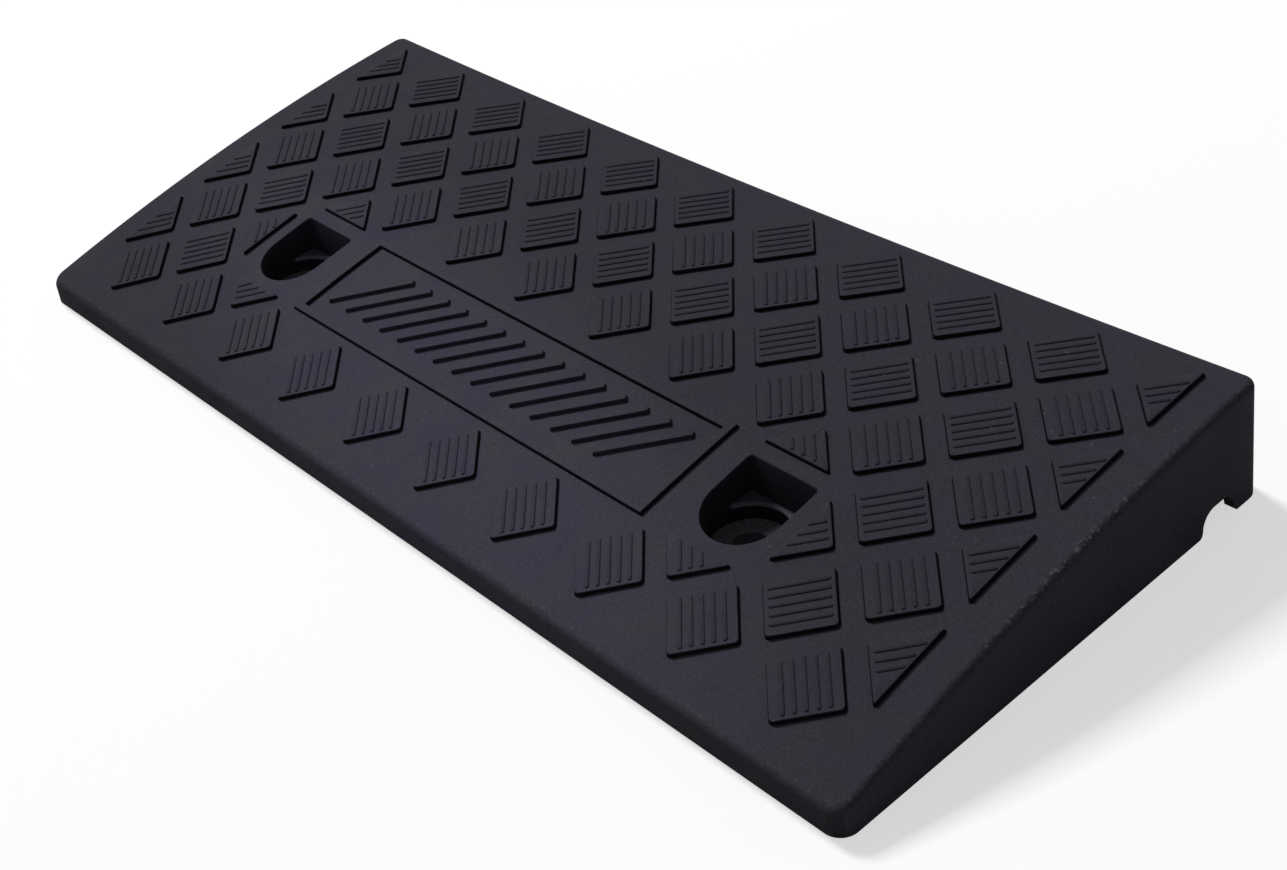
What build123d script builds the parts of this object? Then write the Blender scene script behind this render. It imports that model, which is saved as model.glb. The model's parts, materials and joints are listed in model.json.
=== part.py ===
from build123d import *
import os
from math import asin, atan2, ceil, cos, degrees, floor, hypot, pi, radians, sin, tan

# Kerb ramp: a hollow ribbed moulding with a crowned deck, raised tread pads and a raised frame,
# two bolt pockets with steel bushes, and rubber feet pushed into its underside.
# Millimetres. +X runs along the kerb, +Y up the slope to the kerb, +Z up.
# Heights are measured from the rim, the lower edge of the walls. The finished pieces are then
# lifted by the height that the feet stand proud, so that the feet stand on Z = 0.

# Moulding, outside
length = 490.0  # along the kerb, at the rim
depth = 212.0  # from the lip to the kerb face, at the rim
lip_height = 10.2  # deck at the lip
kerb_height = 47.4  # deck at the kerb face
deck_crown = 5.6  # rise of the arched deck above a straight slope
wall_draft = 3.0  # lean of the outer walls, degrees
lip_corner_radius = 7.0  # corners in plan
kerb_corner_radius = 7.5
deck_edge_radius = 3.0  # rounding from the deck into the walls

# Moulding, hollow underside
deck_thickness = 6.0
end_wall = 4.0
kerb_wall = 8.0
lip_land = 24.0  # solid stretch behind the lip
rib_thickness = 4.0
cell_limit = 46.0  # widest cell between ribs

# Tread pads: squares turned by 45 degrees, in staggered rows
row_pitch = 22.8  # between rows up the slope, and half the pitch along a row
pad_side = 24.0
pad_relief = 1.5  # height of pads, frame and bars above the deck
pad_root = 1.0  # depth of their roots in the deck
half_pad_trim = 1.2  # a half pad stops this far from the square's diagonal
pad_end_margin = 14.0  # least distance from the last column to the end of the deck
pad_row_margin = 24.0  # least distance from the first and last row to the deck's edge

# Raised frame, centred between the pockets, with a row of slanted bars inside
panel_setback = 75.0  # from the lip to the frame's middle, along the deck
panel_length = 217.0
panel_width = 50.0
panel_band = 4.5
bar_length = 38.0
bar_width = 3.2
bar_pitch = 12.0
bar_count = 15
bar_slant = 45.0  # lean to the right, degrees

# Bolt pockets: flat-backed towards the kerb, round towards the lip, with a round counterbore below
bolt_spacing = 275.8  # between the left and the right bolt's axis
pocket_column = 6  # column of pads, counted from the middle, that a pocket stands in
pocket_drop = 2.4  # from the frame's middle down to the bolts' axes, along the deck
pocket_radius = 15.7  # at the ledge
pocket_flat = 17.2  # from the bolt's axis to the flat back, at the ledge
pocket_corner_radius = 1.0
pocket_draft = 2.0  # lean of the sides, degrees
pocket_back_lean = 8.0  # lean of the flat back, degrees
pocket_wall = 4.5
ledge_height = 16.2
seat_height = 8.0

# Bolt bush, with a flange on the pocket's seat and a barrel down to the rim
bush_bore_radius = 7.0
bush_barrel_radius = 10.0
bush_flange_radius = 15.0
bush_flange_thickness = 2.0
bush_edge_chamfer = 0.4
bush_clearance = 0.3  # radial, round the barrel

# Arched notch for a cable or rain water, through the end walls and the cross ribs
notch_width = 18.0
notch_height = 9.3
notch_round = 6.5
notch_setback = 25.4  # from the kerb face to the notch's middle

# Rubber feet
foot_radius = 12.0
foot_socket_depth = 5.0
foot_proud = 0.5  # how far a foot stands below the rim
foot_clearance = 0.3  # radial, in the socket
foot_boss_wall = 4.0
foot_end_setback = 52.0
foot_lip_setback = 55.0
foot_kerb_setback = 56.0
foot_edge_chamfer = 0.8

# Deck arc, worked out in the plane across the kerb
overrun = 20.0  # how far a cutting shape runs past what it cuts
half_length = length / 2
half_depth = depth / 2
deck_rise = kerb_height - lip_height
deck_chord = hypot(depth, deck_rise)
deck_tilt = atan2(deck_rise, depth)
deck_radius = deck_chord**2 / (8 * deck_crown) + deck_crown / 2
deck_sweep = 2 * asin(deck_chord / 2 / deck_radius)
deck_run = deck_radius * deck_sweep
axis_drop = deck_radius - deck_crown
axis_y = axis_drop * sin(deck_tilt)
axis_z = (lip_height + kerb_height) / 2 - axis_drop * cos(deck_tilt)
lip_angle = pi / 2 + deck_tilt + deck_sweep / 2
kerb_angle = lip_angle - deck_sweep

# Places that several pieces share
pocket_x = bolt_spacing / 2
pocket_back_reach = (kerb_height - ledge_height) * tan(radians(pocket_back_lean))
block_height = kerb_height + overrun
notch_y = half_depth - notch_setback
left_and_right = {"left": -1, "right": 1}


def deck_plane(x, run):
    """Plane that touches the deck at a distance up the slope from the lip."""
    angle = lip_angle - run / deck_radius
    y = axis_y + deck_radius * cos(angle)
    z = axis_z + deck_radius * sin(angle)
    return Plane(origin=(x, y, z), x_dir=(1, 0, 0), z_dir=(0, cos(angle), sin(angle)))


def under_deck(offset):
    """All the space below the deck's surface, moved up by an offset."""
    reach = overrun / deck_radius
    sweep = deck_sweep + 2 * reach
    arc = CenterArc((axis_y, axis_z), deck_radius + offset, degrees(kerb_angle - reach), degrees(sweep))
    kerb_end = arc @ 0
    lip_end = arc @ 1
    rest = Polyline(lip_end, (lip_end.X, -overrun), (kerb_end.X, -overrun), kerb_end)
    profile = make_face([arc, rest])
    return extrude(Plane.YZ * profile, half_length + overrun, both=True)


def leaning_block(plan):
    """Block on the rim whose sides all lean in by the wall draft."""
    return extrude(plan, block_height, taper=wall_draft)


def outer_plan():
    """Rounded outline of the moulding."""
    plan = Rectangle(length, depth)
    plan = fillet(plan.vertices().sort_by(Axis.Y)[:2], lip_corner_radius)
    return fillet(plan.vertices().sort_by(Axis.Y)[-2:], kerb_corner_radius)


def core_plan():
    """Outline of the hollow, inside the end walls, the kerb wall and the lip's solid stretch."""
    front = -half_depth + lip_land
    back = half_depth - kerb_wall
    return Pos(0, (front + back) / 2) * Rectangle(length - 2 * end_wall, back - front)


def rib_places(start, end):
    """Middles of the evenly spaced ribs between two walls."""
    cells = ceil((end - start + rib_thickness) / (cell_limit + rib_thickness))
    pitch = (end - start + rib_thickness) / cells
    return [start - rib_thickness / 2 + pitch * place for place in range(1, cells)]


def ribs():
    """Lattice of upright ribs under the deck."""
    inner_half = half_length - end_wall
    cross = Box(rib_thickness, depth, block_height)
    along = Box(length, rib_thickness, block_height)
    lattice = [Pos(x, 0, block_height / 2) * cross for x in rib_places(-inner_half, inner_half)]
    front = -half_depth + lip_land
    back = half_depth - kerb_wall
    lattice += [Pos(0, y, block_height / 2) * along for y in rib_places(front, back)]
    return lattice


def pocket_plan(spread, back_spread):
    """Outline of a pocket about its bolt's axis, with its sides and its flat back moved out."""
    radius = pocket_radius + spread
    flat = pocket_flat + back_spread
    sides = Polyline((radius, 0), (radius, flat), (-radius, flat), (-radius, 0))
    nose = ThreePointArc((-radius, 0), (0, -radius), (radius, 0))
    plan = make_face([sides, nose])
    return fillet(plan.vertices().sort_by(Axis.Y)[-2:], pocket_corner_radius + spread)


def pocket_places():
    """Bolt axes of the left and the right pocket."""
    y = deck_plane(0, panel_setback - pocket_drop).origin.Y
    return {side: Pos(sign * pocket_x, y, 0) for side, sign in left_and_right.items()}


def pocket_boss():
    """Block that carries a pocket's walls and its seat."""
    return extrude(pocket_plan(pocket_wall, pocket_wall + pocket_back_reach), block_height)


def pocket_cut():
    """Space in a pocket, from above the deck down to the seat, and the hole for the bush's barrel."""
    rise = block_height - ledge_height
    spread = rise * tan(radians(pocket_draft))
    back_spread = rise * tan(radians(pocket_back_lean))
    mouth = loft([pocket_plan(0, 0), Pos(0, 0, rise) * pocket_plan(spread, back_spread)], ruled=True)
    bore = Cylinder(pocket_radius, rise, align=(Align.CENTER, Align.CENTER, Align.MIN))
    hole_radius = bush_barrel_radius + bush_clearance
    hole = Cylinder(hole_radius, block_height, align=(Align.CENTER, Align.CENTER, Align.MIN))
    return Pos(0, 0, ledge_height) * mouth + Pos(0, 0, seat_height) * bore + Pos(0, 0, -overrun) * hole


def foot_places():
    """Middles of the six feet, by name."""
    columns = {"left": -half_length + foot_end_setback, "middle": 0, "right": half_length - foot_end_setback}
    rows = {"front": -half_depth + foot_lip_setback, "rear": half_depth - foot_kerb_setback}
    return {f"{row}_{column}": Pos(x, y, 0) for row, y in rows.items() for column, x in columns.items()}


def foot_boss():
    """Post that holds a foot's socket."""
    radius = foot_radius + foot_clearance + foot_boss_wall
    return Cylinder(radius, block_height, align=(Align.CENTER, Align.CENTER, Align.MIN))


def foot_socket():
    """Space for a foot, open at the rim."""
    tall = foot_socket_depth + overrun
    socket = Cylinder(foot_radius + foot_clearance, tall, align=(Align.CENTER, Align.CENTER, Align.MIN))
    return Pos(0, 0, -overrun) * socket


def notch_cut():
    """Arched passage along the whole length, near the kerb."""
    half = notch_width / 2
    foot = Polyline((-half, notch_height), (-half, -overrun), (half, -overrun), (half, notch_height), close=True)
    profile = make_face(foot)
    profile = fillet(profile.vertices().sort_by(Axis.Y)[-2:], notch_round)
    return extrude(Plane.YZ * Pos(notch_y, 0) * profile, half_length + overrun, both=True)


def pad_plan(kept):
    """Outline of a tread pad: a square standing on its corner, or the half of it on one side."""
    reach = pad_side / 2**0.5
    tips = {"right": (reach, 0), "up": (0, reach), "left": (-reach, 0), "down": (0, -reach)}
    if kept == "whole":
        return make_face(Polyline(*tips.values(), close=True))
    tip = Vector(*tips[kept])
    inner = tip * (half_pad_trim / reach)
    half_base = tip.rotate(Axis.Z, 90) * (1 - half_pad_trim / reach)
    return make_face(Polyline(tip, inner + half_base, inner - half_base, close=True))


def kept_part(row, column, last_column):
    """Part of the pad that stands at a row and column counted from the frame's middle."""
    side = "right" if column > 0 else "left"
    if abs(row) <= 1:
        beyond = abs(column) - pocket_column - (1 if row == 0 else 0)
        if beyond < 0:
            return None
        if beyond == 0:
            return {1: "up", 0: side, -1: "down"}[row]
    if abs(column) == last_column:
        return "left" if column > 0 else "right"
    return "whole"


def tread_pads():
    """Tread pads in staggered rows, each lying along the deck."""
    last_column = floor((half_length - pad_end_margin) / row_pitch)
    first_row = -floor((panel_setback - pad_row_margin) / row_pitch)
    last_row = floor((deck_run - panel_setback - pad_row_margin) / row_pitch)
    plans = {kept: pad_plan(kept) for kept in ("whole", "left", "right", "up", "down")}
    pads = []
    for row in range(first_row, last_row + 1):
        for column in range(-last_column, last_column + 1):
            kept = kept_part(row, column, last_column)
            if (row + column) % 2 == 0 or kept is None:
                continue
            plane = deck_plane(column * row_pitch, panel_setback + row * row_pitch)
            pads.append(extrude(plane.offset(-pad_root) * plans[kept], pad_root + pad_relief))
    return pads


def panel_relief():
    """Raised frame and the slanted bars inside it, following the deck's curve."""
    slope = deck_plane(0, panel_setback)
    width = panel_width * slope.y_dir.Y
    frame = Rectangle(panel_length, width) - Rectangle(panel_length - 2 * panel_band, width - 2 * panel_band)
    bar = Rot(0, 0, -bar_slant) * Rectangle(bar_width, bar_length)
    shapes = [frame] + [place * bar for place in GridLocations(bar_pitch, 0, bar_count, 1)]
    skin = under_deck(pad_relief) - under_deck(-pad_root)
    stamps = [extrude(Pos(0, slope.origin.Y) * shape, block_height) for shape in shapes]
    return [skin & stamp for stamp in stamps]


def ramp_body():
    """The moulding."""
    block = leaning_block(outer_plan()) & under_deck(0)
    deck = block.faces().sort_by(Axis.Z)[-1]
    block = fillet(deck.edges(), deck_edge_radius)
    bolts = pocket_places().values()
    feet = foot_places().values()
    posts = [place * pocket_boss() for place in bolts] + [place * foot_boss() for place in feet]
    cells = (leaning_block(core_plan()) & under_deck(-deck_thickness)) - ribs() - posts
    block = block - cells
    block = block + tread_pads() + panel_relief()
    block = block - [place * pocket_cut() for place in bolts]
    block = block - [place * foot_socket() for place in feet]
    return block - notch_cut()


def bolt_bush():
    """Flanged steel bush, standing on the rim's plane."""
    low = (Align.CENTER, Align.CENTER, Align.MIN)
    top = seat_height + bush_flange_thickness
    flange = Pos(0, 0, seat_height) * Cylinder(bush_flange_radius, bush_flange_thickness, align=low)
    flange = chamfer(flange.edges().sort_by(Axis.Z)[-1], bush_edge_chamfer)
    barrel = Cylinder(bush_barrel_radius, seat_height, align=low)
    return flange + barrel - Cylinder(bush_bore_radius, top, align=low)


def rubber_foot():
    """Round rubber foot, from below the rim up to its socket's roof."""
    foot = Cylinder(foot_radius, foot_socket_depth + foot_proud, align=(Align.CENTER, Align.CENTER, Align.MIN))
    foot = chamfer(foot.edges().sort_by(Axis.Z)[0], foot_edge_chamfer)
    return Pos(0, 0, -foot_proud) * foot


def save(shape, node):
    """Write one piece, lifted so that the feet stand on Z = 0."""
    export_step(Pos(0, 0, foot_proud) * shape, f"parts/{node}.step")


os.makedirs("parts", exist_ok=True)
save(ramp_body(), "ramp_body")
for side, place in pocket_places().items():
    save(place * bolt_bush(), f"bolt_bush_{side}")
for name, place in foot_places().items():
    save(place * rubber_foot(), f"foot_{name}")
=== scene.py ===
"""Kerb ramp: the looks of a moulded ramp with a padded deck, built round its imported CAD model."""

import json
from math import asin, atan2, cos, hypot, pi, radians, sin, sqrt, tan

import bmesh
import bpy
import numpy as np
from bpy.props import FloatProperty, FloatVectorProperty, IntProperty, PointerProperty
from mathutils import Matrix, Vector

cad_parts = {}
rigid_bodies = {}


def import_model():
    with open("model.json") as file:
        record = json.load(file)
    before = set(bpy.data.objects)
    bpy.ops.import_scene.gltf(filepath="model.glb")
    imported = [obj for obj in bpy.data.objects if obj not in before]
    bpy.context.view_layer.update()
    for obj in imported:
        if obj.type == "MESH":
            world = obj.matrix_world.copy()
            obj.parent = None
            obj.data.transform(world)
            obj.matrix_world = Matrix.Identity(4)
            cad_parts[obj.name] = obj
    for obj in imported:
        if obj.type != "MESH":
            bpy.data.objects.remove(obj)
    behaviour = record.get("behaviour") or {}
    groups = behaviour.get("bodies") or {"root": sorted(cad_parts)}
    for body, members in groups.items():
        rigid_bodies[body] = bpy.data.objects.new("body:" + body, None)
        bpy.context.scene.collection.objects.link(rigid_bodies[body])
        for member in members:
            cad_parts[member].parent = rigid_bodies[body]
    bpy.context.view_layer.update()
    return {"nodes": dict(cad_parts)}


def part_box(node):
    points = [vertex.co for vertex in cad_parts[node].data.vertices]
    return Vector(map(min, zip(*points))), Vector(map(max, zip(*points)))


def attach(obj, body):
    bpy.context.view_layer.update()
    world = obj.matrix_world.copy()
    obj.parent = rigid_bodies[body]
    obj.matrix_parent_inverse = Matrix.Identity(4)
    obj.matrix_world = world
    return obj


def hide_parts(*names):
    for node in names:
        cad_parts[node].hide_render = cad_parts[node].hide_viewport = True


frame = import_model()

bl_info = {
    "name": "Kerb ramp",
    "version": (1, 0, 0),
    "blender": (4, 5, 0),
    "location": "View3D > Sidebar > Kerb ramp",
    "description": "Builds a kerb ramp's moulding, tread pads, raised frame, bushes, feet and stage",
    "category": "Object",
}

MM = 0.001
RAMP_LOW, RAMP_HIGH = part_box("ramp_body")
BUSHES = ("bolt_bush_left", "bolt_bush_right")
FEET = sorted(node for node in frame["nodes"] if node.startswith("foot_"))
PIECES = ("moulding", "tread_pads", "raised_frame", "frame_bars", "bushes", "feet", "stage")

# Helper shapes pass at least this far through the rim and the ends, so that they cut cleanly.
OVERRUN = 5 * MM
# The same for posts and sockets, which also pass through the floor of the cells' cutter.
POST_OVERRUN = 8 * MM
# Points closer than this are merged.
MERGE = 0.001 * MM
# A line that crosses a side at a smaller rate than this runs along it.
PARALLEL = 1e-9
# Longer than the whole ramp, in metres.
FAR = 1.0
# Rounds in which a height and an inset that depend on each other settle, on the deck's edge and in a pocket.
EDGE_ROUNDS = 4
POCKET_ROUNDS = 3

# Steps that sides and curves are drawn in.
CORNER_STEPS = 5
LONG_STEPS = 96
SHORT_STEPS = 42
EDGE_STEPS = 9
CIRCLE_STEPS = 48
CELL_STEPS = 8
NOTCH_STEPS = 8
FRAME_STEPS = (44, 8)
# The same for a pocket's straight side, corner, flat back and round side.
POCKET_STEPS = (4, 6, 12, 32)

# Edges that turn by more than this stay sharp.
MOULDING_CREASE = radians(32)
PAD_CREASE = radians(20)

# A face is a wall where its normal's upward part is under STEEP, and level where it is over FLAT.
STEEP = 0.5
FLAT = 0.95
# The lip's painted shade makes it blacker than the deck where its normal's upward part is under 1 / LIP_FALL,
# and a painted highlight makes it paler over it.
LIP_FALL = 1.5
# How fast the wear fades with the distance from the right end.
WEAR_FADE = 12

# Share of its light that a surface of shade 1 loses.
BLACKEST = 0.85

# Width of the camera's sensor in mm.
SENSOR = 36.0
# Distance between the nodes of a tree, as Blender's editor shows them.
NODE_STEP = 190


def linear(code):
    """Linear colour of an sRGB hex code."""
    parts = [int(code[i : i + 2], 16) / 255 for i in (0, 2, 4)]
    return [c / 12.92 if c <= 0.04045 else ((c + 0.055) / 1.055) ** 2.4 for c in parts]


def size(name, mm, description):
    """Property for a length, given in millimetres."""
    return FloatProperty(name=name, description=description, default=mm * MM, unit="LENGTH", precision=5)


def angle(name, degrees, description):
    """Property for an angle, given in degrees."""
    turn = radians(degrees)
    return FloatProperty(name=name, description=description, default=turn, subtype="ANGLE", unit="ROTATION")


def level(name, value, description, unit="NONE"):
    """Property for a share, a level or another plain number."""
    return FloatProperty(name=name, description=description, default=value, unit=unit)


def whole(name, value, description, **limits):
    """Property for a whole number."""
    return IntProperty(name=name, description=description, default=value, **limits)


def spot(name, metres, description):
    """Property for a place, given in metres."""
    return FloatVectorProperty(name=name, description=description, default=metres, unit="LENGTH", precision=5)


def colour(name, code, description):
    """Property for a colour, given as an sRGB hex code."""
    return FloatVectorProperty(
        name=name, description=description, default=linear(code), subtype="COLOR", min=0, max=1
    )


class MouldingSizes(bpy.types.PropertyGroup):
    """Sizes of the moulding. Its length, depth and rim come from the CAD model."""

    lip_height: size("Lip height", 10.2, "Deck above the rim at the lip")
    kerb_height: size("Kerb height", 47.4, "Deck above the rim at the kerb face")
    deck_crown: size("Deck crown", 5.6, "Rise of the arched deck above a straight slope")
    deck_sag: size("Deck sag", 4.3, "Dip of the kerb edge at the middle of its length")
    wall_draft: angle("Wall draft", 3.0, "Lean of the outer walls")
    lip_corner: size("Lip corner radius", 7.0, "Rounding in plan at the lip")
    kerb_corner: size("Kerb corner radius", 7.5, "Rounding in plan at the kerb")
    deck_edge: size("Deck edge radius", 3.0, "Rounding from the deck into the walls")
    deck_thickness: size("Deck thickness", 6.0, "Wall above the cells of the underside")
    end_wall: size("End wall", 4.0, "Thickness of the two end walls")
    kerb_wall: size("Kerb wall", 8.0, "Thickness of the wall at the kerb")
    lip_land: size("Lip land", 24.0, "Solid stretch behind the lip")
    rib_thickness: size("Rib thickness", 4.0, "Ribs between the cells")
    cell_columns: whole("Cell columns", 10, "Cells along the kerb", min=1)
    cell_rows: whole("Cell rows", 4, "Cells up the slope", min=1)
    notch_width: size("Notch width", 18.0, "Cable notch in the end walls and ribs")
    notch_height: size("Notch height", 9.3, "Cable notch above the rim")
    notch_round: size("Notch rounding", 6.5, "Upper corners of the cable notch")
    notch_flare: size("Notch flare", 1.5, "Softened foot of the cable notch")
    notch_setback: size("Notch setback", 25.4, "From the kerb face to the notch's middle")
    foot_clearance: size("Foot clearance", 0.3, "Between a foot and its socket, all round")
    foot_boss_wall: size("Foot boss wall", 4.0, "Wall round a foot's socket")
    wear_turn: angle("Wear turn", 65.0, "Where the deck's edge is most worn, turning up from its wall")
    wear_spread: angle("Wear spread", 35.0, "How far the wear spreads over the edge on both sides of that")
    wear_least: level("Least wear", 0.2, "Wear all along the edge, as a share of the worst")
    wear_middle: size("Wear middle", 8.0, "Middle of the worn stretch of the right end's edge, up the slope")
    wear_reach: size("Wear reach", 34.0, "How far the worn stretch reaches from its middle")
    # The sheen: a painted highlight that makes the lower deck paler and bluer.
    bloom_setback: size("Sheen setback", 41.0, "From the lip to the middle of the painted sheen on the deck")
    bloom_length: size("Sheen length", 580.0, "Painted sheen, the long way")
    bloom_width: size("Sheen width", 175.0, "Painted sheen, the short way")
    bloom_turn: angle("Sheen turn", -14.0, "Turn of the painted sheen away from the lip")
    bloom_gain: level("Sheen gain", 0.36, "How much paler the deck is in the middle of the painted sheen")
    # Painted shade on the lip's wall, turning to a painted highlight at the top of its edge.
    lip_shade: level("Lip shade", 0.44, "How much blacker the lip's wall is than the deck")
    surface_colour: colour("Plastic", "343138", "Warm black of the moulding")
    cast_colour: colour("Cast", "33313e", "Bluish black in the moulding's flow marks")
    scuff_colour: colour("Scuff", "8d8a88", "Pale scuffs on the edges")


class PocketSizes(bpy.types.PropertyGroup):
    """Sizes of the two bolt pockets, about the axes of the CAD bushes."""

    radius: size("Radius", 15.7, "Round side and counterbore")
    flat: size("Flat", 17.2, "From the bolt's axis to the flat back, at the ledge")
    corner: size("Corner radius", 1.0, "Corners of the flat back")
    draft: angle("Draft", 2.0, "Lean of the sides")
    back_lean: angle("Back lean", 8.0, "Lean of the flat back")
    wall: size("Wall", 4.5, "Wall round the pocket under the deck")
    ledge_height: size("Ledge height", 16.2, "Ledge above the rim")
    seat_height: size("Seat height", 8.0, "Seat of the bush above the rim")
    hole_radius: size("Hole radius", 10.3, "Hole for the bush's barrel")
    mouth: size("Mouth", 0.4, "Softened edge round the mouth")
    rim_chamfer: size("Rim chamfer", 1.1, "Chamfer between the ledge and the counterbore")
    # Painted shade on the pockets' walls, painted light on their ledges and a painted highlight on the
    # ledges' rims.
    wall_shade: level("Wall shade", 0.6, "How much blacker the walls are than the deck")
    ledge_shade: level("Ledge shade", -0.3, "The same for the ledge, which is paler")
    rim_shade: level("Rim shade", -2.0, "The same for the ledge's rim")


class TreadSizes(bpy.types.PropertyGroup):
    """Sizes of the tread pads: squares that stand on their corners, in staggered rows."""

    row_pitch: size("Row pitch", 22.8, "Between rows, and half the pitch along a row")
    side: size("Side", 24.7, "Side of a pad, at the deck")
    relief: size("Relief", 1.4, "Height of pads, frame and bars above the deck")
    root: size("Root", 1.0, "Depth of a pad's root in the deck")
    draft: size("Side draft", 0.45, "How far a side leans in from the deck to the top")
    corner: size("Corner radius", 1.7, "Rounded corners in plan")
    tip: size("Tip radius", 0.7, "Rounded sharp corners of a half pad")
    bevel: size("Bevel", 0.3, "Softened upper edge")
    trim: size("Half pad trim", 1.2, "A half pad by a pocket stops this far from the diagonal")
    end_margin: size("End margin", 15.2, "From the half pads at the ends to the end walls")
    rib_pitch: size("Rib pitch", 3.75, "Between the ribs on a pad")
    rib_width: size("Rib width", 1.7, "Foot of a rib")
    rib_height: size("Rib height", 0.45, "Height of a rib on the pad")
    rib_margin: size("Rib margin", 1.8, "From a rib's end to the pad's side")
    cut_margin: size("Cut margin", 0.9, "From a rib's end to a half pad's long side")
    least_rib: size("Least rib", 5.0, "Shortest straight length of a rib")
    # The ribs' painted shade.
    rib_shade: level("Rib shade", 0.18, "How black the ribs are, as a share of the sides")
    ribs: whole("Ribs", 5, "Ribs on a whole pad", min=1)
    first_row: whole("First row", -2, "Lowest row, counted from the frame's middle")
    last_row: whole("Last row", 5, "Highest row, counted from the frame's middle")
    last_column: whole("Last column", 10, "Outermost column on each side")
    pocket_column: whole("Pocket column", 6, "Column that the pockets stand in")


class FrameSizes(bpy.types.PropertyGroup):
    """Sizes of the raised frame between the pockets and of the bars inside it."""

    setback: size("Setback", 75.0, "From the lip to the frame's middle, along the deck")
    length: size("Length", 217.0, "Along the kerb")
    width: size("Width", 50.0, "Up the slope")
    band: size("Band", 4.5, "Width of the frame's band")
    bar_length: size("Bar length", 38.0, "Along a bar")
    bar_width: size("Bar width", 3.2, "Across a bar")
    bar_corner: size("Bar corner radius", 0.8, "Rounded corners of a bar in plan")
    bar_pitch: size("Bar pitch", 12.0, "Between the bars")
    bar_slant: angle("Bar slant", 45.0, "Lean of the bars to the right")
    bar_count: whole("Bars", 15, "Bars in the frame", min=1)
    # Painted shade on the bars' sides.
    bar_shade: level("Bar shade", 0.45, "How black the bars' sides are, as a share of the pads' sides")


class StageSettings(bpy.types.PropertyGroup):
    """Floor, light and camera."""

    floor_reach: size("Floor reach", 8000.0, "From the ramp's middle to the floor's sides")
    floor_colour: colour("Floor", "ffffff", "Colour of the floor and the background")
    bounce_colour: colour("Floor bounce", "e7e1d9", "Share of light that the floor throws back on the ramp")
    floor_glow: level("Floor glow", 0.6, "Share of plain white in the floor as seen")
    camera_place: spot("Camera", (0.51227, -0.35509, 0.42210), "Place of the camera")
    azimuth: angle("Azimuth", 53.024, "Camera's turn about the upright axis")
    elevation: angle("Elevation", 36.108, "Camera's look down")
    roll: angle("Roll", -8.998, "Camera's tilt about its own line of sight")
    lens: level("Lens", 52.372, "Focal length in mm", "CAMERA")
    key_place: spot("Key lamp", (-5.6, 0.8, 5.6), "Place of the main lamp, which faces the ramp")
    key_size: size("Key lamp size", 1800.0, "Side of the main lamp")
    key_power: level("Key lamp power", 695.0, "Power of the main lamp in watts", "POWER")
    sky_level: level("Sky", 0.2, "Level of the even light from all round")


class RampSettings(bpy.types.PropertyGroup):
    """All the settings of the kerb ramp."""

    moulding: PointerProperty(type=MouldingSizes)
    pocket: PointerProperty(type=PocketSizes)
    tread: PointerProperty(type=TreadSizes)
    frame: PointerProperty(type=FrameSizes)
    stage: PointerProperty(type=StageSettings)


class Deck:
    """Arc of the crowned deck across the kerb, with heights in the CAD model's frame."""

    def __init__(self, moulding):
        self.rim = RAMP_LOW.z
        self.half_length = RAMP_HIGH.x
        self.half_depth = RAMP_HIGH.y
        self.lean = tan(moulding.wall_draft)
        rise = moulding.kerb_height - moulding.lip_height
        chord = hypot(2 * self.half_depth, rise)
        tilt = atan2(rise, 2 * self.half_depth)
        self.radius = chord**2 / (8 * moulding.deck_crown) + moulding.deck_crown / 2
        drop = self.radius - moulding.deck_crown
        self.axis_y = drop * sin(tilt)
        self.axis_z = self.rim + (moulding.lip_height + moulding.kerb_height) / 2 - drop * cos(tilt)
        self.lip_angle = pi / 2 + tilt + asin(chord / 2 / self.radius)

    def height(self, y):
        """Height of the deck above a place in plan."""
        return self.axis_z + np.sqrt(self.radius**2 - (np.asarray(y) - self.axis_y) ** 2)

    def slope(self, run):
        """Tilt of the deck at a distance up the slope from the lip."""
        return self.lip_angle - run / self.radius - pi / 2

    def point(self, x, run, lift):
        """Point above the deck, at a distance up the slope from the lip."""
        turn = self.lip_angle - run / self.radius
        reach = self.radius + lift
        return (x, self.axis_y + reach * cos(turn), self.axis_z + reach * sin(turn))


def set_inputs(node, inputs):
    """Set a node's inputs, each to a plain value or by a link from a socket or a node's first output."""
    for name, value in inputs.items():
        if isinstance(value, bpy.types.Node):
            value = value.outputs[0]
        if isinstance(value, bpy.types.NodeSocket):
            node.id_data.links.new(value, node.inputs[name])
        else:
            node.inputs[name].default_value = value


def add_node(tree, kind, inputs=None, **settings):
    """Add a node to a tree, with its settings and inputs."""
    node = tree.nodes.new(kind)
    node.location.x = NODE_STEP * len(tree.nodes)
    for name, value in settings.items():
        setattr(node, name, value)
    set_inputs(node, inputs or {})
    return node


def new_tree(name, values):
    """Geometry Nodes tree with a geometry input, an input named for each value, and a geometry output."""
    tree = bpy.data.node_groups.new(name, "GeometryNodeTree")
    tree.interface.new_socket("Geometry", in_out="INPUT", socket_type="NodeSocketGeometry")
    plain = {int: "Int", float: "Float", tuple: "Vector"}
    for label, value in values.items():
        kind = plain.get(type(value), type(value).__name__)
        tree.interface.new_socket(label, in_out="INPUT", socket_type=f"NodeSocket{kind}")
    tree.interface.new_socket("Geometry", in_out="OUTPUT", socket_type="NodeSocketGeometry")
    return tree


def end_tree(tree, shape, material):
    """End a tree with its instances made real and painted."""
    real = add_node(tree, "GeometryNodeRealizeInstances", {"Geometry": shape})
    painted = add_node(tree, "GeometryNodeSetMaterial", {"Geometry": real, "Material": material})
    add_node(tree, "NodeGroupOutput", {0: painted})
    return tree


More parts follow.
